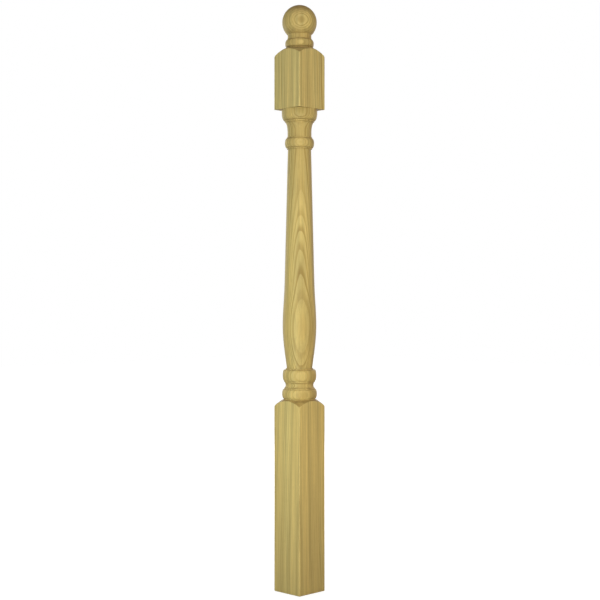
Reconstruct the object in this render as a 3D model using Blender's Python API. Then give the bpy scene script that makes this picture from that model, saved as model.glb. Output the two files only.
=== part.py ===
"""A turned wooden newel post with a ball top: one squared billet, turned between two square blocks.

The billet is a square prism with eased arrises. The lathe's outline is a stack of mouldings, listed from
the foot up, and the post is what the billet and the turned form have in common. Where the outline runs
wider than the billet's corners, the billet stays square. Metres, +Z up, origin at the centre of the foot.
"""

import math

import bmesh
import bpy

# The squared billet
POST_SIDE = 0.075
ARRIS_EASING = 0.0018
FOOT_EASING = 0.0010

# The two square blocks, measured along their corners, and the crowned slope of the shoulder on top of each
BASE_BLOCK = 0.384
TOP_BLOCK = 0.1095
SHOULDER_RISE = 0.015
SHOULDER_CUT = 0.0030
SHOULDER_CROWN = 0.30

# Heights of the mouldings on the base block, from the shoulder up
BASE_QUIRK_RISE = 0.0020
BASE_TORUS_RISE = 0.0195
SCOTIA_FILLET_RISE = 0.0025
SCOTIA_RISE = 0.012
UPPER_TORUS_RISE = 0.0235
VASE_FILLET_RISE = 0.0025

# Heights along the turned shaft: its vase, the swell above the belly, and the straight taper
VASE_RISE = 0.0895
VASE_NECK_LEAN = 0.13
SWELL_RISE = 0.0865
TAPER_RISE = 0.2795

# Heights of the mouldings under the top block, from the shaft up
NECKING_FILLET_RISE = 0.0025
NECKING_BEAD_RISE = 0.020
NECK_RISE = 0.011
COVE_RISE = 0.0205
COVE_FILLET_RISE = 0.0025
OVOLO_RISE = 0.016
COLLAR_RISE = 0.0075

# Heights of the mouldings under the ball
BALL_QUIRK_RISE = 0.0035
BALL_RING_RISE = 0.017
BALL_FILLET_RISE = 0.0020
BALL_NECK_RISE = 0.0082

# Depths of cut, from the billet's face down to each turned surface
BASE_QUIRK_CUT = 0.0045
BASE_TORUS_CUT = 0.0013
SCOTIA_FILLET_CUT = 0.0055
SCOTIA_CUT = 0.0085
UPPER_TORUS_CUT = 0.0025
VASE_FILLET_CUT = 0.0085
VASE_NECK_CUT = 0.0111
BELLY_CUT = 0.0025
TAPER_FOOT_CUT = 0.0064
TAPER_TOP_CUT = 0.0133
NECKING_FILLET_CUT = 0.0112
NECKING_BEAD_CUT = 0.0070
NECK_CUT = 0.0126
COVE_FILLET_CUT = 0.0067
COLLAR_CUT = 0.0005
BALL_QUIRK_CUT = 0.0088
BALL_RING_CUT = 0.0078
BALL_FILLET_CUT = 0.0120
BALL_NECK_CUT = 0.0130
BALL_CUT = 0.0015

# The lathe form runs this far outside the billet's corners, and past both of its ends
CORNER_CLEARANCE = 0.0005
END_WASTE = 0.010

# Facets
TURN_STEPS = 48
BEAD_STEPS = 8
COVE_STEPS = 5
SHOULDER_STEPS = 5
CURVE_STEPS = 7
BALL_STEPS = 12
EASING_STEPS = 2
SHARP_ANGLE = math.radians(28)

WOOD_COLOUR = (0.50, 0.37, 0.13, 1.0)
WOOD_ROUGHNESS = 0.55


def radius_at(cut):
    """The radius that the lathe leaves when it cuts this deep into the middle of the billet's face."""
    return POST_SIDE / 2 - cut


class Outline:
    """The lathe's outline as (radius, height) points, built from the foot up."""

    def __init__(self, start):
        self.height = start
        self.points = [(0.0, start)]

    def fillet(self, radius, rise):
        """A straight band, parallel to the axis."""
        self.points.append((radius, self.height))
        self.height += rise
        self.points.append((radius, self.height))

    def bulge(self, foot, crest, rise, steps):
        """Half an ellipse: a bead or torus where the crest is wider than the foot, else a hollow."""
        for step in range(steps + 1):
            turn = math.pi * step / steps
            up = rise * (1 - math.cos(turn)) / 2
            self.points.append((foot + (crest - foot) * math.sin(turn), self.height + up))
        self.height += rise

    def quarter(self, lower, upper, rise, steps, level_first):
        """A quarter of an ellipse from the lower radius to the upper one, level at its start or at its end."""
        for step in range(steps + 1):
            turn = math.pi / 2 * step / steps
            if level_first:
                across, up = math.sin(turn), 1 - math.cos(turn)
            else:
                across, up = 1 - math.cos(turn), math.sin(turn)
            self.points.append((lower + (upper - lower) * across, self.height + rise * up))
        self.height += rise

    def curve(self, lower, upper, lower_lean, upper_lean, rise, steps):
        """A cubic between two radii, with the lean, radius per height, that it has at each end."""
        for step in range(steps + 1):
            t = step / steps
            radius = (
                lower * (1 + 2 * t) * (1 - t) ** 2
                + lower_lean * rise * t * (1 - t) ** 2
                + upper * t * t * (3 - 2 * t)
                + upper_lean * rise * t * t * (t - 1)
            )
            self.points.append((radius, self.height + rise * t))
        self.height += rise

    def slope(self, lower, upper, rise, crown, steps):
        """A slope whose lean starts this share below its mean and ends as much above it, so that it is crowned."""
        lean = (upper - lower) / rise
        self.curve(lower, upper, lean * (1 - crown), lean * (1 + crown), rise, steps)

    def ball(self, radius, neck_radius, steps):
        """A ball that stands on its neck and closes on the axis."""
        first = math.asin(neck_radius / radius)
        centre = self.height + radius * math.cos(first)
        for step in range(steps + 1):
            turn = math.pi - first + (first - math.pi) * step / steps
            self.points.append((radius * math.sin(turn), centre + radius * math.cos(turn)))
        self.points[-1] = (0.0, centre + radius)
        self.height = centre + radius


def turn_base_mouldings(outline):
    """Torus, scotia and torus, over the quirk that parts them from the base block's shoulder."""
    quirk = radius_at(BASE_QUIRK_CUT)
    step = radius_at(SCOTIA_FILLET_CUT)
    outline.fillet(quirk, BASE_QUIRK_RISE)
    outline.bulge(quirk, radius_at(BASE_TORUS_CUT), BASE_TORUS_RISE, BEAD_STEPS)
    outline.fillet(step, SCOTIA_FILLET_RISE)
    outline.bulge(step, radius_at(SCOTIA_CUT), SCOTIA_RISE, COVE_STEPS)
    outline.fillet(step, SCOTIA_FILLET_RISE)
    outline.bulge(step, radius_at(UPPER_TORUS_CUT), UPPER_TORUS_RISE, BEAD_STEPS)
    outline.fillet(radius_at(VASE_FILLET_CUT), VASE_FILLET_RISE)


def turn_shaft(outline):
    """The vase with its belly, the swell that runs out of it, and the straight taper."""
    belly = radius_at(BELLY_CUT)
    taper_foot = radius_at(TAPER_FOOT_CUT)
    taper_top = radius_at(TAPER_TOP_CUT)
    taper_lean = (taper_top - taper_foot) / TAPER_RISE
    outline.curve(radius_at(VASE_NECK_CUT), belly, VASE_NECK_LEAN, 0.0, VASE_RISE, CURVE_STEPS)
    outline.curve(belly, taper_foot, 0.0, taper_lean, SWELL_RISE, CURVE_STEPS)
    outline.height += TAPER_RISE
    outline.points.append((taper_top, outline.height))


def turn_neck_mouldings(outline):
    """The bead at the top of the shaft, the neck and cove over it, and the ovolo that meets the block."""
    fillet = radius_at(NECKING_FILLET_CUT)
    neck = radius_at(NECK_CUT)
    cove_top = radius_at(COVE_FILLET_CUT)
    collar = radius_at(COLLAR_CUT)
    outline.fillet(fillet, NECKING_FILLET_RISE)
    outline.bulge(fillet, radius_at(NECKING_BEAD_CUT), NECKING_BEAD_RISE, BEAD_STEPS)
    outline.fillet(fillet, NECKING_FILLET_RISE)
    outline.fillet(neck, NECK_RISE)
    outline.quarter(neck, cove_top, COVE_RISE, COVE_STEPS, level_first=False)
    outline.fillet(cove_top, COVE_FILLET_RISE)
    outline.quarter(cove_top, collar, OVOLO_RISE, COVE_STEPS, level_first=True)
    outline.fillet(collar, COLLAR_RISE)


def turn_ball_top(outline):
    """A quirk, a ring, a hollow neck and the ball."""
    quirk = radius_at(BALL_QUIRK_CUT)
    fillet = radius_at(BALL_FILLET_CUT)
    neck = radius_at(BALL_NECK_CUT)
    outline.fillet(quirk, BALL_QUIRK_RISE)
    outline.bulge(fillet, radius_at(BALL_RING_CUT), BALL_RING_RISE, BEAD_STEPS)
    outline.fillet(fillet, BALL_FILLET_RISE)
    outline.fillet(neck, BALL_NECK_RISE)
    outline.ball(radius_at(BALL_CUT), neck, BALL_STEPS)


def lathe_outline():
    """The whole outline, from the waste under the foot to the top of the ball."""
    swing = POST_SIDE / math.sqrt(2) + CORNER_CLEARANCE
    shoulder = radius_at(SHOULDER_CUT)
    outline = Outline(-END_WASTE)
    outline.fillet(swing, END_WASTE + BASE_BLOCK)
    outline.slope(swing, shoulder, SHOULDER_RISE, SHOULDER_CROWN, SHOULDER_STEPS)
    turn_base_mouldings(outline)
    turn_shaft(outline)
    turn_neck_mouldings(outline)
    outline.fillet(swing, TOP_BLOCK)
    outline.slope(swing, shoulder, SHOULDER_RISE, SHOULDER_CROWN, SHOULDER_STEPS)
    turn_ball_top(outline)
    return outline


def wood():
    """Pale yellow softwood, planed and sanded, with no finish on it."""
    material = bpy.data.materials.new("bare_softwood")
    material.use_nodes = True
    shader = material.node_tree.nodes["Principled BSDF"]
    shader.inputs["Base Color"].default_value = WOOD_COLOUR
    shader.inputs["Roughness"].default_value = WOOD_ROUGHNESS
    shader.inputs["Metallic"].default_value = 0.0
    material.diffuse_color = WOOD_COLOUR
    return material


def mesh_object(name, bm, material):
    """Links a bmesh as an object of its own, shaded smooth but for its crisp edges."""
    mesh = bpy.data.meshes.new(name)
    bmesh.ops.recalc_face_normals(bm, faces=bm.faces)
    bm.to_mesh(mesh)
    bm.free()
    mesh.materials.append(material)
    mesh.shade_smooth()
    mesh.set_sharp_from_angle(angle=SHARP_ANGLE)
    made = bpy.data.objects.new(name, mesh)
    bpy.context.scene.collection.objects.link(made)
    return made


def turned_form(points, material):
    """The outline spun once round the axis."""
    bm = bmesh.new()
    verts = [bm.verts.new((radius, 0.0, height)) for radius, height in points]
    edges = [bm.edges.new(pair) for pair in zip(verts, verts[1:])]
    bmesh.ops.spin(
        bm,
        geom=verts + edges,
        axis=(0.0, 0.0, 1.0),
        cent=(0.0, 0.0, 0.0),
        angle=math.tau,
        steps=TURN_STEPS,
        use_merge=True,
    )
    bmesh.ops.remove_doubles(bm, verts=bm.verts, dist=1e-6)
    form = mesh_object("lathe_form", bm, material)
    form.hide_render = True
    form.display_type = "WIRE"
    return form


def billet(length, material):
    """The square prism, with its long arrises and the edges of its foot eased."""
    bm = bmesh.new()
    bmesh.ops.create_cube(bm, size=1.0)
    bmesh.ops.scale(bm, vec=(POST_SIDE, POST_SIDE, length), verts=bm.verts)
    bmesh.ops.translate(bm, vec=(0.0, 0.0, length / 2), verts=bm.verts)
    upright = [edge for edge in bm.edges if edge.verts[0].co.z != edge.verts[1].co.z]
    bmesh.ops.bevel(
        bm, geom=upright, offset=ARRIS_EASING, offset_type="OFFSET",
        segments=EASING_STEPS, profile=0.5, affect="EDGES",
    )
    foot = [edge for edge in bm.edges if max(vert.co.z for vert in edge.verts) < FOOT_EASING]
    bmesh.ops.bevel(
        bm, geom=foot, offset=FOOT_EASING, offset_type="OFFSET",
        segments=1, profile=0.5, affect="EDGES",
    )
    return mesh_object("newel_post", bm, material)


def main():
    for old in list(bpy.data.objects):
        bpy.data.objects.remove(old, do_unlink=True)
    outline = lathe_outline()
    material = wood()
    form = turned_form(outline.points, material)
    post = billet(outline.height + END_WASTE, material)
    turning = post.modifiers.new("turning", "BOOLEAN")
    turning.operation = "INTERSECT"
    turning.object = form
    turning.solver = "EXACT"


main()
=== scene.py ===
"""Looks of a turned softwood newel post with a ball top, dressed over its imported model. Metres, +Z up."""

import math

import bpy
import numpy as np
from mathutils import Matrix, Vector


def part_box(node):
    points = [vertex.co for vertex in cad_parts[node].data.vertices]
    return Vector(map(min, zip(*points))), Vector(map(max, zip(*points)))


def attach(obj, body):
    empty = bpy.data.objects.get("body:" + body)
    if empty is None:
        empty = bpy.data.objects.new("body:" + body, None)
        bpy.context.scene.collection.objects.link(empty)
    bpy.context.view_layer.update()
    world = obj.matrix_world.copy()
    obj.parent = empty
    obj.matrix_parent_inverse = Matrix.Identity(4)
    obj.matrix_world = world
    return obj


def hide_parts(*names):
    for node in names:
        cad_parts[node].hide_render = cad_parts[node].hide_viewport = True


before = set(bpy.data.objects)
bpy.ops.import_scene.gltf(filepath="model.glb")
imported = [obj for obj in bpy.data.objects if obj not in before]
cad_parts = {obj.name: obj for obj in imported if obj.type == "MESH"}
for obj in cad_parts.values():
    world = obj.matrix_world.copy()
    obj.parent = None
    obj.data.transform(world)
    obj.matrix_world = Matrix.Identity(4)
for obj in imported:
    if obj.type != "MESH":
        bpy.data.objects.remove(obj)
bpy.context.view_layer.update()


# The photograph shows the post upright and corner-on, from about the middle of its height, with the camera
# level. Its picture is 600 pixels wide, and PIXELS_PER_METRE holds on the post's own axis.
PICTURE_WIDTH = 600
PIXELS_PER_METRE = 480.2
FOOT_ROW = 590.8
CENTRE_COLUMN = 299.5
CAMERA_AZIMUTH = math.radians(45)
CAMERA_DISTANCE = 2.6
SENSOR_WIDTH = 36.0
LEVEL = math.radians(90)

towards_camera = np.array([math.sin(CAMERA_AZIMUTH), -math.cos(CAMERA_AZIMUTH), 0.0])
picture_right = np.array([math.cos(CAMERA_AZIMUTH), math.sin(CAMERA_AZIMUTH), 0.0])
camera_height = (FOOT_ROW - PICTURE_WIDTH / 2) / PIXELS_PER_METRE
camera_aside = (PICTURE_WIDTH / 2 - CENTRE_COLUMN) / PIXELS_PER_METRE
camera = bpy.data.objects.new("photo_camera", bpy.data.cameras.new("photo_camera"))
camera.data.sensor_width = SENSOR_WIDTH
camera.data.lens = SENSOR_WIDTH * PIXELS_PER_METRE * CAMERA_DISTANCE / PICTURE_WIDTH
camera.location = towards_camera * CAMERA_DISTANCE + picture_right * camera_aside
camera.location.z = camera_height
camera.rotation_euler = (LEVEL, 0.0, CAMERA_AZIMUTH)
bpy.context.scene.collection.objects.link(camera)
bpy.context.scene.camera = camera


# The billet is a squared length of clear softwood, about three inches a side after planing, with its four
# long arrises eased by a pass of the plane. Two stretches of it stay square as the post's blocks.
post_low, post_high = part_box("newel_post")
BILLET_HALF = (post_high[0] - post_low[0]) / 2
ARRIS_EASING = 0.0018
FOOT_EASING = 0.0010
BASE_BLOCK = 0.384
TOP_BLOCK = 0.1095
CORNER_CLEARANCE = 0.0005
SWING = BILLET_HALF * math.sqrt(2) + CORNER_CLEARANCE


def radius_at(cut):
    """The radius that the lathe leaves when it cuts this deep into the middle of the billet's face."""
    return BILLET_HALF - cut


# The lathe's outline is a stack of mouldings, cut in turn with the gouge, the skew and the parting tool.
# Each is an array of (radius, height over its own foot), with enough points to keep a curve smooth.
BULGE_POINTS = 41
QUARTER_POINTS = 25
SWEEP_POINTS = 61
BALL_POINTS = 121


def band(radius, rise):
    """A straight band, parallel to the axis."""
    return np.array([[radius, 0.0], [radius, rise]])


def bulge(foot, crest, rise):
    """Half an ellipse, out or in, with t from 0 to pi: radius = foot + (crest - foot) sin t and height =
    rise (1 - cos t) / 2."""
    t = np.linspace(0.0, math.pi, BULGE_POINTS)
    return np.column_stack([foot + (crest - foot) * np.sin(t), rise * (1 - np.cos(t)) / 2])


def cove(lower, upper, rise):
    """A quarter ellipse, upright at its foot and level at its top, with the radius' share 1 - cos t and the
    height's share sin t."""
    t = np.linspace(0.0, math.pi / 2, QUARTER_POINTS)
    return np.column_stack([lower + (upper - lower) * (1 - np.cos(t)), rise * np.sin(t)])


def ovolo(lower, upper, rise):
    """A quarter ellipse, level at its foot and upright at its top, with the radius' share sin t and the
    height's share 1 - cos t."""
    t = np.linspace(0.0, math.pi / 2, QUARTER_POINTS)
    return np.column_stack([lower + (upper - lower) * np.sin(t), rise * (1 - np.cos(t))])


def sweep(lower, upper, lower_lean, upper_lean, rise):
    """A cubic in height between two radii, with the lean, radius per height, that it has at each end."""
    t = np.linspace(0.0, 1.0, SWEEP_POINTS)
    radius = (
        lower * (1 + 2 * t) * (1 - t) ** 2
        + lower_lean * rise * t * (1 - t) ** 2
        + upper * t * t * (3 - 2 * t)
        + upper_lean * rise * t * t * (t - 1)
    )
    return np.column_stack([radius, rise * t])


def ball(radius, neck_radius):
    """A ball on its neck: radius sin t and height in proportion to cos t, from the neck up to the axis."""
    first = math.asin(neck_radius / radius)
    t = np.linspace(math.pi - first, 0.0, BALL_POINTS)
    return np.column_stack([radius * np.sin(t), radius * (np.cos(t) + math.cos(first))])


def stacked(mouldings, start):
    """The mouldings one on top of the other, each from the height where the one below ends."""
    rises = np.array([moulding[-1, 1] for moulding in mouldings])
    feet = start + np.concatenate([[0.0], np.cumsum(rises)[:-1]])
    return np.concatenate([moulding + [0.0, foot] for moulding, foot in zip(mouldings, feet)])


# Both blocks end in the same crowned slope, which runs from outside their corners in to the turning and
# gets steadily flatter. SHOULDER_CROWN is the share by which its lean differs at either end from a straight
# one's.
SHOULDER, SHOULDER_RISE = radius_at(0.0030), 0.0150
SHOULDER_CROWN = 0.30
straight_lean = (SHOULDER - SWING) / SHOULDER_RISE
shoulder_leans = straight_lean * (1 - SHOULDER_CROWN), straight_lean * (1 + SHOULDER_CROWN)
shoulder = sweep(SWING, SHOULDER, *shoulder_leans, SHOULDER_RISE)

# Over the base block come a torus, a scotia and a second torus, parted from each other by narrow fillets. A
# moulding's radius comes from the depth of its cut, and its rise is its own height.
BASE_QUIRK, BASE_QUIRK_RISE = radius_at(0.0045), 0.0020
TORUS, TORUS_RISE = radius_at(0.0013), 0.0195
SCOTIA_FILLET, SCOTIA_FILLET_RISE = radius_at(0.0055), 0.0025
SCOTIA, SCOTIA_RISE = radius_at(0.0085), 0.0120
UPPER_TORUS, UPPER_TORUS_RISE = radius_at(0.0025), 0.0235
VASE_FILLET, VASE_FILLET_RISE = radius_at(0.0085), 0.0025
base_mouldings = [
    shoulder,
    band(BASE_QUIRK, BASE_QUIRK_RISE),
    bulge(BASE_QUIRK, TORUS, TORUS_RISE),
    band(SCOTIA_FILLET, SCOTIA_FILLET_RISE),
    bulge(SCOTIA_FILLET, SCOTIA, SCOTIA_RISE),
    band(SCOTIA_FILLET, SCOTIA_FILLET_RISE),
    bulge(SCOTIA_FILLET, UPPER_TORUS, UPPER_TORUS_RISE),
    band(VASE_FILLET, VASE_FILLET_RISE),
]

# The shaft starts as a vase that opens from a narrow neck to the belly. It then draws in and runs up in a
# long straight taper.
VASE_NECK, VASE_LEAN, VASE_RISE = radius_at(0.0111), 0.13, 0.0895
BELLY, SWELL_RISE = radius_at(0.0025), 0.0865
TAPER_FOOT, TAPER_TOP, TAPER_RISE = radius_at(0.0064), radius_at(0.0133), 0.2795
taper_lean = (TAPER_TOP - TAPER_FOOT) / TAPER_RISE
shaft_mouldings = [
    sweep(VASE_NECK, BELLY, VASE_LEAN, 0.0, VASE_RISE),
    sweep(BELLY, TAPER_FOOT, 0.0, taper_lean, SWELL_RISE),
    sweep(TAPER_FOOT, TAPER_TOP, taper_lean, taper_lean, TAPER_RISE),
]

# A bead closes the shaft. A neck, a cove and an ovolo over it open out again to the top block, whose lower
# side the parting tool leaves flat.
NECKING_FILLET, NECKING_FILLET_RISE = radius_at(0.0112), 0.0025
NECKING_BEAD, NECKING_BEAD_RISE = radius_at(0.0070), 0.0200
NECK, NECK_RISE = radius_at(0.0126), 0.0110
COVE_FILLET, COVE_FILLET_RISE = radius_at(0.0067), 0.0025
COVE_RISE = 0.0205
OVOLO_RISE = 0.0160
COLLAR, COLLAR_RISE = radius_at(0.0005), 0.0075
neck_mouldings = [
    band(NECKING_FILLET, NECKING_FILLET_RISE),
    bulge(NECKING_FILLET, NECKING_BEAD, NECKING_BEAD_RISE),
    band(NECKING_FILLET, NECKING_FILLET_RISE),
    band(NECK, NECK_RISE),
    cove(NECK, COVE_FILLET, COVE_RISE),
    band(COVE_FILLET, COVE_FILLET_RISE),
    ovolo(COVE_FILLET, COLLAR, OVOLO_RISE),
    band(COLLAR, COLLAR_RISE),
]

# Over the top block a quirk and a ring carry the ball, which is turned in one with the post.
BALL_QUIRK, BALL_QUIRK_RISE = radius_at(0.0088), 0.0035
RING, RING_RISE = radius_at(0.0078), 0.0170
BALL_FILLET, BALL_FILLET_RISE = radius_at(0.0120), 0.0020
BALL_NECK, BALL_NECK_RISE = radius_at(0.0130), 0.0082
BALL = radius_at(0.0015)
ball_mouldings = [
    shoulder,
    band(BALL_QUIRK, BALL_QUIRK_RISE),
    bulge(BALL_FILLET, RING, RING_RISE),
    band(BALL_FILLET, BALL_FILLET_RISE),
    band(BALL_NECK, BALL_NECK_RISE),
    ball(BALL, BALL_NECK),
]

# After turning, the post is sanded on the lathe, which rounds every arris a little. The rows of the surface
# are then spaced by the outline's length and by how much it turns, so that beads get more than the taper.
SANDING = 0.00022
BELL_REACH = 4
FINE_STEP = 0.00008
ROW_LENGTH = 0.0060
ROW_TURN = math.radians(9)
LEAST_STEP = 0.00002


def length_along(line):
    """How far along the line each of its points lies."""
    return np.concatenate([[0.0], np.cumsum(np.hypot(*np.diff(line, axis=0).T))])


def read_at(picks, measure, line):
    """The points at these picks of a line whose own points lie at the given measure."""
    return np.column_stack([np.interp(picks, measure, line[:, k]) for k in (0, 1)])


def sanded(outline):
    """The outline read at even steps of its length and blurred along it by a bell curve, SANDING wide."""
    length = length_along(outline)
    fine = read_at(np.arange(0.0, length[-1], FINE_STEP), length, outline)
    reach = int(BELL_REACH * SANDING / FINE_STEP)
    bell = np.exp(-0.5 * (np.arange(-reach, reach + 1) * FINE_STEP / SANDING) ** 2)
    bell /= bell.sum()
    padded = np.pad(fine, ((reach, reach), (0, 0)), mode="edge")
    blurred = np.column_stack([np.convolve(padded[:, k], bell, mode="valid") for k in (0, 1)])
    blurred[[0, -1]] = outline[[0, -1]]
    return blurred


def spaced(outline):
    """Points picked from the sanded outline at equal steps of length / ROW_LENGTH + turning / ROW_TURN.
    Those nearer than LEAST_STEP to the one before, at the bottom of a sharp groove, are left out."""
    fine = sanded(outline)
    stretch = np.diff(fine, axis=0)
    heading = np.unwrap(np.arctan2(stretch[:, 1], stretch[:, 0]))
    turning = np.abs(np.diff(heading, prepend=heading[0]))
    steps = np.hypot(*stretch.T) / ROW_LENGTH + turning / ROW_TURN
    need = np.concatenate([[0.0], np.cumsum(steps)])
    points = read_at(np.linspace(0.0, need[-1], int(need[-1]) + 2), need, fine)
    return points[np.hypot(*np.diff(points, axis=0, prepend=-1.0).T) > LEAST_STEP]


# The post's surface runs round the section by columns and up the outline by rows. A section is what the
# square billet and the turned circle have in common, and one column always follows the line where the two
# meet, so that the arched edges over the blocks come out crisp.
OCTANT_COLUMNS = 18
FACE_COLUMNS = 10
LEAST_FACE = math.radians(1.5)
COLUMN_DRIFT = 0.025
ARRIS_START = math.atan((BILLET_HALF - ARRIS_EASING) / BILLET_HALF)


def square_radius(angle, half):
    """Polar radius of the eased square: half / cos a along a face, and past ARRIS_START the easing's arc
    round its own centre on the diagonal."""
    off_face = np.abs((angle + math.pi / 4) % (math.pi / 2) - math.pi / 4)
    centre = math.sqrt(2) * (half - ARRIS_EASING)
    aside = centre * np.sin(off_face - math.pi / 4)
    reach = np.sqrt(np.maximum(ARRIS_EASING**2 - aside**2, 0.0))
    arc = centre * np.cos(off_face - math.pi / 4) + reach
    return np.where(off_face < ARRIS_START, half / np.cos(off_face), arc)


def eased(share):
    """A smooth step from 0 to 1: 3 s^2 - 2 s^3, held outside."""
    held = np.clip(share, 0.0, 1.0)
    return held * held * (3 - 2 * held)


def column_angles(face_end, even):
    """The columns' angles in each row, one row of the result each. In an octant the face takes FACE_COLUMNS
    up to face_end, spaced by a sine, and the rest is spaced by 1 - cosine. even blends this into equal
    steps."""
    number = np.arange(OCTANT_COLUMNS)
    step = number / FACE_COLUMNS
    rest = (number - FACE_COLUMNS) / (OCTANT_COLUMNS - FACE_COLUMNS)
    on_face = face_end[:, None] * np.sin(math.pi / 2 * np.minimum(step, 1.0))
    beyond = (math.pi / 4 - face_end[:, None]) * (1 - np.cos(math.pi / 2 * np.maximum(rest, 0.0)))
    equal = math.pi / 4 * number / OCTANT_COLUMNS
    octant = (1 - even[:, None]) * (on_face + beyond) + even[:, None] * equal
    corner = np.full((len(face_end), 1), math.pi / 4)
    quadrant = np.concatenate([octant, corner, (math.pi / 2 - octant)[:, :0:-1]], axis=1)
    return np.concatenate([quadrant + k * math.pi / 2 for k in range(4)], axis=1)


def turned_stretch(outline, block_above):
    """Rows of a turned stretch over a block, each (radius, height, half side, end of the face, evenness).
    The face ends where the circle leaves the square, at arccos(half / radius), and the columns even out
    within COLUMN_DRIFT of the blocks."""
    points = spaced(outline)
    radius, height = points.T
    length = length_along(points)
    cut = np.arccos(np.minimum(BILLET_HALF / np.maximum(radius, BILLET_HALF), 1.0))
    face_end = np.clip(cut, LEAST_FACE, ARRIS_START)
    apex = length[np.flatnonzero(cut > 0)[-1]]
    even = eased((length - apex) / COLUMN_DRIFT)
    if block_above:
        face_end = np.where(length > length[-1] / 2, ARRIS_START, face_end)
        even = np.minimum(even, eased((length[-1] - length) / COLUMN_DRIFT))
    return np.column_stack([radius, height, np.full_like(radius, BILLET_HALF), face_end, even])


# A block's lower edge is eased by a quarter round. At the foot this is a tool's work, and under the top
# block it is only what sanding takes off.
BLOCK_EDGE = 0.0003
EASING_ROWS = 5
BASE_BLOCK_ROWS = 40
TOP_BLOCK_ROWS = 12


def block_stretch(low, high, easing, steps):
    """Rows of a square block from its lower edge up, where the inset is easing (1 - sin t) and the rise
    easing (1 - cos t)."""
    t = np.linspace(0.0, math.pi / 2, EASING_ROWS)
    edge = low + easing * (1 - np.cos(t))
    height = np.concatenate([edge, np.linspace(low + easing, high, steps)[1:]])
    half = np.full_like(height, BILLET_HALF)
    half[:EASING_ROWS] -= easing * (1 - np.sin(t))
    same = np.ones_like(height)
    return np.column_stack([same * SWING, height, half, same * ARRIS_START, same * 0.0])


lower_turning = stacked(base_mouldings + shaft_mouldings + neck_mouldings, BASE_BLOCK)
top_block_foot = lower_turning[-1, 1]
upper_turning = stacked(ball_mouldings, top_block_foot + TOP_BLOCK)
post_rows = np.concatenate([
    block_stretch(0.0, BASE_BLOCK, FOOT_EASING, BASE_BLOCK_ROWS),
    turned_stretch(lower_turning, block_above=True)[1:],
    block_stretch(top_block_foot, top_block_foot + TOP_BLOCK, BLOCK_EDGE, TOP_BLOCK_ROWS),
    turned_stretch(upper_turning, block_above=False)[1:],
])

# The whole post is one closed skin over those rows, and its first column runs up the back corner. TURNED
# marks where the lathe cut it, as a share from 0 on the planed faces to 1 on the turning.
PIECE = "turned_newel"
TURNED = "turned"
TURNED_EDGE = 0.0004
EDGE_SANDING = 0.00025
BACK_CORNER = 3 * OCTANT_COLUMNS
SHARP_ANGLE = math.radians(35)


def section_points(sections):
    """Points of every row and column, and the turned share of each. The polar radius is the smooth minimum
    of circle a and square b, (a + b - sqrt((a - b)^2 + (2 EDGE_SANDING)^2)) / 2, at the column's angle."""
    radius, height, half, face_end, even = sections.T
    angle = np.roll(column_angles(face_end, even), -BACK_CORNER, axis=1)
    circle = radius[:, None] + np.zeros_like(angle)
    square = square_radius(angle, half[:, None])
    least = (circle + square - np.hypot(circle - square, 2 * EDGE_SANDING)) / 2
    level = height[:, None] + np.zeros_like(angle)
    points = np.stack([least * np.cos(angle), least * np.sin(angle), level], axis=2)
    return points, eased((square - circle) / TURNED_EDGE)


def skin_faces(row_count, column_count):
    """Four-sided faces between neighbouring rows and columns, and fans of triangles to the two poles, which
    are the last two points. All wind anticlockwise seen from outside."""
    here = np.arange(row_count * column_count).reshape(row_count, column_count)
    beside = np.roll(here, -1, axis=1)
    quads = np.stack([here[:-1], beside[:-1], beside[1:], here[1:]], axis=2).reshape(-1, 4)
    foot_fan = np.stack([np.full(column_count, here.size), beside[0], here[0]], axis=1)
    crown_fan = np.stack([here[-1], beside[-1], np.full(column_count, here.size + 1)], axis=1)
    return quads, np.concatenate([foot_fan, crown_fan])


def skin_mesh(name, points, quads, triangles):
    """A mesh of these points and faces, put in as whole arrays."""
    mesh = bpy.data.meshes.new(name)
    corners = np.concatenate([quads.ravel(), triangles.ravel()])
    sizes = np.concatenate([np.full(len(quads), 4), np.full(len(triangles), 3)])
    mesh.vertices.add(len(points))
    mesh.vertices.foreach_set("co", points.ravel())
    mesh.loops.add(len(corners))
    mesh.loops.foreach_set("vertex_index", corners)
    mesh.polygons.add(len(sizes))
    mesh.polygons.foreach_set("loop_start", np.cumsum(sizes) - sizes)
    mesh.update(calc_edges=True)
    return mesh


# The map named here lays the skin out on a square sheet for the wood's colours, slit along the back
# corner. The grain crowds across the post and changes slowly along it, so upright stretches are drawn in
# on the sheet, and the mouldings that cut across the grain get more of it.
SHEET = "OFBake"
ALONG_GRAIN = 0.35


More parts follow.
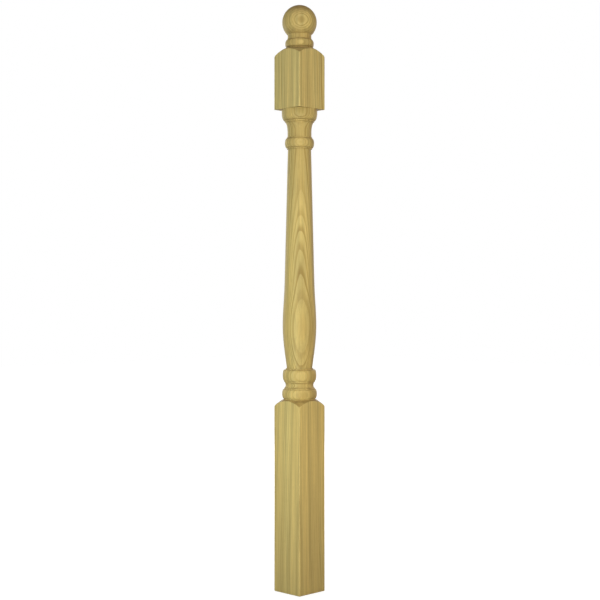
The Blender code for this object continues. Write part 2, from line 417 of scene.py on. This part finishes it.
def sheet_places(grid):
    """Where each corner of every face lies on the sheet, in the order of skin_faces. The way round its row
    gives its share across the sheet, and the way up the outline its share along it. Upright stretches count
    ALONG_GRAIN of their length, and each pole is spread out over a whole edge of the sheet."""
    closed = np.concatenate([grid, grid[:, :1]], axis=1)
    around = np.linalg.norm(np.diff(closed, axis=1), axis=2).cumsum(axis=1)
    across = np.column_stack([np.zeros(len(grid)), around / around[:, -1:]])
    climb = np.linalg.norm(np.diff(grid, axis=0), axis=2).mean(axis=1)
    rise = np.abs(np.diff(grid[..., 2], axis=0)).mean(axis=1)
    reach = np.linalg.norm(grid[[0, -1], :, :2], axis=2).mean(axis=1)
    along = np.cumsum([0.0, reach[0], *(climb - (1 - ALONG_GRAIN) * rise), reach[1]])
    across = np.pad(across, ((1, 1), (0, 0)), mode="edge")
    places = np.stack([across, along[:, None] / along[-1] + np.zeros_like(across)], axis=2)
    here, beside = places[:, :-1], places[:, 1:]
    between = (here + beside) / 2
    quads = np.stack([here[1:-2], beside[1:-2], beside[2:-1], here[2:-1]], axis=2)
    foot_fan = np.stack([between[0], beside[1], here[1]], axis=1)
    crown_fan = np.stack([here[-2], beside[-2], between[-1]], axis=1)
    return np.concatenate([quads.reshape(-1, 2), foot_fan.reshape(-1, 2), crown_fan.reshape(-1, 2)])


grid, turned_share = section_points(post_rows[:-1])
poles = [[0.0, 0.0, 0.0], [0.0, 0.0, post_rows[-1, 1]]]
quads, fans = skin_faces(*turned_share.shape)
post_mesh = skin_mesh(PIECE, np.concatenate([grid.reshape(-1, 3), poles]), quads, fans)
marks = post_mesh.attributes.new(TURNED, "FLOAT", "POINT")
marks.data.foreach_set("value", np.concatenate([turned_share.ravel(), [0.0, 1.0]]))
sheet = post_mesh.uv_layers.new(name=SHEET)
sheet.uv.foreach_set("vector", sheet_places(grid).ravel())
post_mesh.shade_smooth()
post_mesh.set_sharp_from_angle(angle=SHARP_ANGLE)
post = bpy.data.objects.new(PIECE, post_mesh)
bpy.context.scene.collection.objects.link(post)

# The wood is bare, sanded softwood, drawn by one material in the post's own coordinates. Each of these
# functions adds a step to the material, fed by the steps before it.
wood = bpy.data.materials.new("bare_softwood_grain")
wood.use_nodes = True
wood_nodes = wood.node_tree.nodes
wood_shader = wood_nodes["Principled BSDF"]


def feed(socket, value):
    """Links the socket to another one, or gives it a plain value."""
    if isinstance(value, bpy.types.NodeSocket):
        socket.id_data.links.new(value, socket)
    else:
        socket.default_value = value


def added(kind, inputs, **settings):
    """A new node of this kind, in the tree of the sockets that feed it. inputs holds those sockets and plain
    values, under the names or numbers of the node's own inputs."""
    tree = next(value.id_data for value in inputs.values() if isinstance(value, bpy.types.NodeSocket))
    node = tree.nodes.new(kind)
    for name, setting in settings.items():
        setattr(node, name, setting)
    for socket, value in inputs.items():
        feed(node.inputs[socket], value)
    return node


def calc(operation, *values):
    """One step of arithmetic on numbers."""
    return added("ShaderNodeMath", dict(enumerate(values)), operation=operation).outputs[0]


def vector_calc(operation, *values):
    """One step of arithmetic on vectors, whose result is a number for LENGTH."""
    node = added("ShaderNodeVectorMath", dict(enumerate(values)), operation=operation)
    return node.outputs["Value" if operation == "LENGTH" else "Vector"]


def upward(vector):
    """The part of a vector that points up."""
    return added("ShaderNodeSeparateXYZ", {0: vector}).outputs["Z"]


def noise(place, cycles, detail=2.0, output="Fac"):
    """Noise about a middle of 0.5, with this many cycles per metre along each axis."""
    inputs = {"Vector": vector_calc("MULTIPLY", place, cycles), "Scale": 1.0, "Detail": detail}
    return added("ShaderNodeTexNoise", inputs).outputs[output]


def noise_along(distance, cycles):
    """Noise about a middle of 0.5, with this many cycles per metre of one distance."""
    inputs = {"W": distance, "Scale": cycles}
    return added("ShaderNodeTexNoise", inputs, noise_dimensions="1D").outputs["Fac"]


def chance(number):
    """A share from 0 to 1, another one for each number."""
    return added("ShaderNodeTexWhiteNoise", {"W": number}, noise_dimensions="1D").outputs["Value"]


def spread(value, low, high, to_low=0.0, to_high=1.0):
    """A value taken by a smooth step from one range to another, held outside."""
    inputs = dict(enumerate((value, low, high, to_low, to_high)))
    return added("ShaderNodeMapRange", inputs, interpolation_type="SMOOTHSTEP").outputs["Result"]


def tinted(share, first, second, blend="MIX"):
    """The first colour with this share of the second over it."""
    inputs = {"Factor": share, 6: first, 7: second}
    return added("ShaderNodeMix", inputs, data_type="RGBA", blend_type=blend).outputs[2]


# Growth rings are cylinders round a pith that lies outside the post's back corner and leans a little, so
# they run up the faces as lines and close into ovals and arches where the lathe cut through them. The grain
# bends them by a slow wander and a fine ripple.
PITH = (-0.083, 0.071, 0.0)
PITH_LEAN = (math.radians(-0.6), math.radians(-0.8), 0.0)
WANDER, WANDER_CYCLES = (0.016, 0.016, 0.0), (7.0, 7.0, 1.7)
RIPPLE, RIPPLE_CYCLES = (0.0011, 0.0011, 0.0), (70.0, 70.0, 9.0)
NOISE_MIDDLE = (0.5, 0.5, 0.5)
LEVEL_PART = (1.0, 1.0, 0.0)

on_post = wood_nodes.new("ShaderNodeTexCoord")
place = on_post.outputs["Object"]
from_pith = {"Vector": place, "Location": [-along for along in PITH], "Rotation": PITH_LEAN}
grown = added("ShaderNodeMapping", from_pith).outputs["Vector"]
for bend, cycles in ((WANDER, WANDER_CYCLES), (RIPPLE, RIPPLE_CYCLES)):
    sway = vector_calc("SUBTRACT", noise(place, cycles, output="Color"), NOISE_MIDDLE)
    grown = vector_calc("MULTIPLY_ADD", sway, bend, grown)
pith_distance = vector_calc("LENGTH", vector_calc("MULTIPLY", grown, LEVEL_PART))

# Distance from the pith counts the years, some of them wider. In each the pale early wood darkens into a
# band of late wood, which stops sharply, and no two bands are equally dark. Here and below, a range of two
# numbers is spread over 0 to 1, and one of four ends with the two numbers that it is spread over.
RING_WIDTH = 0.0026
UNEVEN_YEARS, UNEVEN_CYCLES = 3.0, 60.0
LATE_WOOD_GROWS = (0.35, 0.86)
LATE_WOOD_STOPS = (1.0, 0.93)
BAND_STRENGTH = (0.0, 1.0, 0.45, 1.0)

uneven = calc("MULTIPLY", noise_along(pith_distance, UNEVEN_CYCLES), UNEVEN_YEARS)
years = calc("MULTIPLY_ADD", pith_distance, 1 / RING_WIDTH, uneven)
season = calc("FRACT", years)
late = calc("MULTIPLY", spread(season, *LATE_WOOD_GROWS), spread(season, *LATE_WOOD_STOPS))
late = calc("MULTIPLY", late, spread(chance(calc("FLOOR", years)), *BAND_STRENGTH))

# The rings are pale early wood and darker late wood. Broad bands of warmer heartwood tint them and follow
# the bent grain.
EARLY_WOOD = (0.612, 0.494, 0.193, 1.0)
LATE_WOOD = (0.370, 0.248, 0.066, 1.0)
HEART_WOOD = (0.528, 0.383, 0.131, 1.0)
HEART_CYCLES = (22.0, 22.0, 1.2)
HEART_SHARE = (0.42, 0.66, 0.0, 0.75)

heart = spread(noise(grown, HEART_CYCLES, detail=1.0), *HEART_SHARE)
colour = tinted(heart, tinted(late, EARLY_WOOD, LATE_WOOD), HEART_WOOD)

# Everything else makes the wood lighter or darker: fibres and wider streaks along the post, spells of
# lighter and darker years, resin canals as short dark dashes, the lighter sapwood away from the pith, a run
# of dark dry years, and painted shade that darkens the wood towards the foot.
FIBRE_CYCLES, FIBRE_TONE = (900.0, 900.0, 16.0), (0.25, 0.75, 0.90, 1.10)
STREAK_CYCLES, STREAK_TONE = (160.0, 160.0, 2.6), (0.25, 0.75, 0.88, 1.12)
SPELL_CYCLES, SPELL_TONE = 80.0, (0.30, 0.70, 0.86, 1.12)
RESIN_CYCLES, RESIN_TONE = (2400.0, 2400.0, 70.0), (0.60, 0.70, 1.0, 0.84)
SAPWOOD_TONE = (0.110, 0.165, 0.95, 1.12)
DRY_YEARS, DRY_TONE = 0.140, (0.001, 0.008, 0.94, 1.0)
# Painted shade: the wood is drawn darker towards the foot.
FOOT_PAINTED_SHADE = (-0.06, 0.36, 0.80, 1.0)

fibre = noise(place, FIBRE_CYCLES, detail=3.0)
for cause, tone in (
    (fibre, FIBRE_TONE),
    (noise(place, STREAK_CYCLES), STREAK_TONE),
    (noise_along(pith_distance, SPELL_CYCLES), SPELL_TONE),
    (noise(place, RESIN_CYCLES, detail=1.0), RESIN_TONE),
    (pith_distance, SAPWOOD_TONE),
    (calc("ABSOLUTE", calc("SUBTRACT", pith_distance, DRY_YEARS)), DRY_TONE),
    # painted shade towards the foot
    (upward(place), FOOT_PAINTED_SHADE),
):
    colour = vector_calc("MULTIPLY", colour, spread(cause, *tone))

# Wood that the lathe cut is a shade darker than the planed faces. Wood cut across the fibres, on the flats
# and the steep sides of the beads, drinks in light and looks darker still.
TURNED_WOOD = (0.91, 0.88, 0.82, 1.0)
END_GRAIN = (0.62, 0.56, 0.50, 1.0)
END_GRAIN_SHARE = (0.30, 1.0, 0.0, 0.8)

turned_mark = wood_nodes.new("ShaderNodeAttribute")
turned_mark.attribute_name = TURNED
turned = turned_mark.outputs["Fac"]
colour = tinted(turned, colour, TURNED_WOOD, blend="MULTIPLY")
end_grain = spread(calc("ABSOLUTE", upward(on_post.outputs["Normal"])), *END_GRAIN_SHARE)
feed(wood_shader.inputs["Base Color"], tinted(end_grain, colour, END_GRAIN, blend="MULTIPLY"))

# Late wood and fibres stand out a little. So do the rings left by the gouge and the sandpaper on the turned
# surfaces, and the planer's faint waves across the square faces. These heights are in millimetres.
LATE_WOOD_HEIGHT = 0.020
FIBRE_HEIGHT = 0.050
TOOL_RING_CYCLES, TOOL_RING_HEIGHT = (14.0, 14.0, 1300.0), 0.045
PLANER_CYCLES, PLANER_HEIGHT = (5.0, 5.0, 190.0), 0.020
MILLIMETRE = 0.001

tool_rings = calc("MULTIPLY", noise(place, TOOL_RING_CYCLES, detail=3.0), turned)
planer_waves = calc("MULTIPLY", noise(place, PLANER_CYCLES, detail=0.0), calc("SUBTRACT", 1.0, turned))
relief = calc("MULTIPLY", late, LATE_WOOD_HEIGHT)
for pattern, height in (
    (fibre, FIBRE_HEIGHT),
    (tool_rings, TOOL_RING_HEIGHT),
    (planer_waves, PLANER_HEIGHT),
):
    relief = calc("MULTIPLY_ADD", pattern, height, relief)
bump = added("ShaderNodeBump", {"Height": relief, "Distance": MILLIMETRE})
feed(wood_shader.inputs["Normal"], bump.outputs["Normal"])

# Bare wood has a soft, dull sheen. Late wood is denser and a little smoother than the rest.
LATE_WOOD_GLOSS = 0.3
ROUGHNESS = (0.2, 0.7, 0.58, 0.70)
SHINE = 0.35

coarse = calc("SUBTRACT", fibre, calc("MULTIPLY", late, LATE_WOOD_GLOSS))
feed(wood_shader.inputs["Roughness"], spread(coarse, *ROUGHNESS))
feed(wood_shader.inputs["Specular IOR Level"], SHINE)

post_mesh.materials.append(wood)
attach(post, "root")
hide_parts("newel_post")


# The post stands on a plain pale floor, which the camera sees glow about as white as the wall behind. Close
# round the foot the glow is dimmed, a painted shadow.
FLOOR_HALF = 8.0
FLOOR_DROP = 0.0004
FLOOR_GREY = (0.32, 0.32, 0.32, 1.0)
FLOOR_ROUGHNESS = 0.9
# Painted shadow: the floor's glow is dimmed close round the post's foot.
FLOOR_GLOW_AND_FOOT_SHADOW = (0.1, 1.2, 0.80, 1.0)
WHITE = (1.0, 1.0, 1.0, 1.0)

floor_mesh = bpy.data.meshes.new("studio_floor")
floor_signs = [(-1, -1), (1, -1), (1, 1), (-1, 1)]
floor_corners = [(x * FLOOR_HALF, y * FLOOR_HALF, -FLOOR_DROP) for x, y in floor_signs]
floor_mesh.from_pydata(floor_corners, [], [(0, 1, 2, 3)])
floor = bpy.data.objects.new("studio_floor", floor_mesh)
bpy.context.scene.collection.objects.link(floor)
floor_paint = bpy.data.materials.new("pale_floor")
floor_paint.use_nodes = True
floor_nodes = floor_paint.node_tree.nodes
from_post = vector_calc("LENGTH", floor_nodes.new("ShaderNodeTexCoord").outputs["Object"])
floor_seen = floor_nodes.new("ShaderNodeLightPath").outputs["Is Camera Ray"]
floor_shader = floor_nodes["Principled BSDF"]
feed(floor_shader.inputs["Base Color"], FLOOR_GREY)
feed(floor_shader.inputs["Roughness"], FLOOR_ROUGHNESS)
feed(floor_shader.inputs["Emission Color"], WHITE)
# The glow is dimmed close round the foot, a painted shadow.
feed(floor_shader.inputs["Emission Strength"], calc("MULTIPLY", spread(from_post, *FLOOR_GLOW_AND_FOOT_SHADOW), floor_seen))
floor_mesh.materials.append(floor_paint)

# The room's own light is soft and dim, and the camera sees it as a white wall.
ROOM_LIGHT = 0.22

world = bpy.data.worlds.new("studio")
bpy.context.scene.world = world
world.use_nodes = True
world_nodes = world.node_tree.nodes
room_light = world_nodes["Background"]
feed(room_light.inputs["Color"], WHITE)
feed(room_light.inputs["Strength"], ROOM_LIGHT)
white_wall = world_nodes.new("ShaderNodeBackground")
feed(white_wall.inputs["Color"], WHITE)
wall_seen = world_nodes.new("ShaderNodeLightPath").outputs["Is Camera Ray"]
either = added("ShaderNodeMixShader", {0: wall_seen, 1: room_light.outputs[0], 2: white_wall.outputs[0]})
feed(world_nodes["World Output"].inputs["Surface"], either.outputs[0])
bpy.context.scene.view_settings.view_transform = "Standard"

# Six soft lamps stand round the post. The key, left of the camera, is faintly cool and the fill, right of
# it, is warm, like the photograph's two sides. The three behind light the post's back and its edges.
AIM_HEIGHT = 0.6
WHITE_LIGHT = (1.0, 1.0, 1.0)
COOL_LIGHT = (0.92, 1.0, 0.93)
WARM_LIGHT = (1.0, 0.76, 0.46)


def softbox(name, turn, distance, height, size, watts, colour=WHITE_LIGHT):
    """A square lamp, turned this many degrees round the post from the camera, to the right where positive,
    and aimed at the shaft."""
    lamp = bpy.data.lights.new(name, "AREA")
    lamp.shape = "SQUARE"
    lamp.size = size
    lamp.energy = watts
    lamp.color = colour
    made = bpy.data.objects.new(name, lamp)
    angle = math.radians(turn)
    made.location = (towards_camera * math.cos(angle) + picture_right * math.sin(angle)) * distance
    made.location.z = height
    from_aim = made.location - Vector((0.0, 0.0, AIM_HEIGHT))
    made.rotation_euler = from_aim.to_track_quat("Z", "Y").to_euler()
    bpy.context.scene.collection.objects.link(made)


softbox("key", turn=-18, distance=1.25, height=0.38, size=0.6, watts=12.6, colour=COOL_LIGHT)
softbox("fill", turn=50, distance=2.4, height=0.8, size=1.2, watts=17.0, colour=WARM_LIGHT)
softbox("overhead", turn=-8, distance=1.3, height=2.0, size=0.8, watts=8.0)
softbox("back_left", turn=-138, distance=2.4, height=1.0, size=1.4, watts=22.0)
softbox("back_right", turn=142, distance=2.4, height=1.0, size=1.4, watts=15.0)
softbox("back", turn=180, distance=2.8, height=1.3, size=1.4, watts=42.0)
